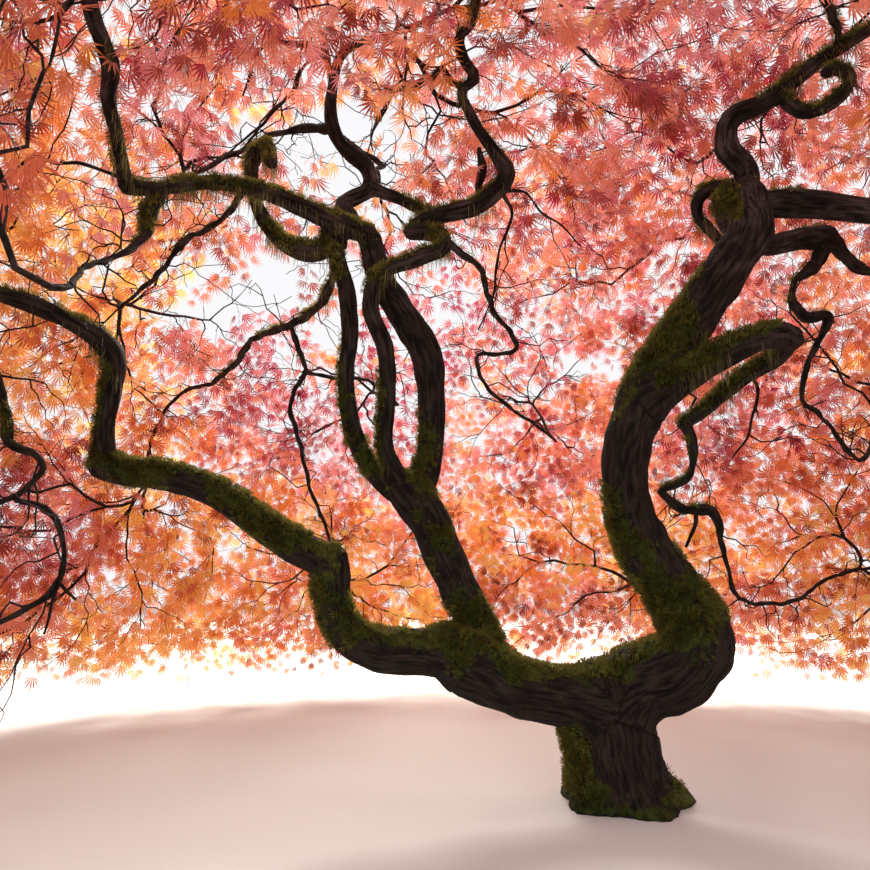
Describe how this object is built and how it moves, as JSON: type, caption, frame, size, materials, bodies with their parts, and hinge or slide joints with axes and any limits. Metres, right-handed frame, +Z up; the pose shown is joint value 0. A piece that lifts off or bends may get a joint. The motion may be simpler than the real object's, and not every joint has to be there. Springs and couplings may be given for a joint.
{
  "type": "japanese maple tree",
  "caption": "Weeping laceleaf maple in autumn colour: a low flared trunk, contorted mossy boughs and a wide, mounded crown of fine-cut leaves, open at the front.",
  "frame": {"origin": "on the ground, in the middle of the flat cut under the trunk", "axes": "+Z up, +X along the crown's longest way, towards the side of the S-shaped stem, and +Y away from the open front"},
  "size_m": [4.4184, 3.598, 2.4526],
  "materials": {
    "bark": "rough dark bark with moss",
    "leaves": "matt autumn leaves, coral to orange and crimson"
  },
  "bodies": {
    "root": {"trunk": "bark", "right_stem": "bark", "left_stem": "bark", "left_low": "bark", "left_mid": "bark", "left_rise": "bark", "left_weeper": "bark", "mid_stem": "bark", "mid_left": "bark", "mid_right": "bark", "mid_centre": "bark", "upper_curl": "bark", "high_left": "bark", "high_left_rise": "bark", "droop_left": "bark", "droop_inner": "bark", "high_top": "bark", "top_left": "bark", "top_back": "bark", "high_bridge": "bark", "knot": "bark", "back_left": "bark", "back_left_low": "bark", "back_centre": "bark", "back_mid": "bark", "top_right": "bark", "top_right_curl": "bark", "top_right_rise": "bark", "right_arm": "bark", "right_behind": "bark", "right_far": "bark", "right_weeper": "bark", "stub_out": "bark", "stub_back": "bark", "stub_weeper": "bark", "back_high": "bark", "back_right": "bark", "back_low": "bark", "leaves_skirt_right_front": "leaves", "leaves_skirt_right": "leaves", "leaves_skirt_back_right": "leaves", "leaves_skirt_back": "leaves", "leaves_skirt_back_left": "leaves", "leaves_skirt_left": "leaves", "leaves_side_right_front": "leaves", "leaves_side_right": "leaves", "leaves_side_back_right": "leaves", "leaves_side_back": "leaves", "leaves_side_back_left": "leaves", "leaves_side_left_back": "leaves", "leaves_side_left": "leaves", "leaves_side_left_front": "leaves", "leaves_brow_left": "leaves", "leaves_brow_middle": "leaves", "leaves_brow_right": "leaves", "leaves_top_right_mass": "leaves", "leaves_top_back_right": "leaves", "leaves_top_back_left": "leaves", "leaves_top_left_mass": "leaves", "leaves_crown_top": "leaves"}
  },
  "joints": []
}
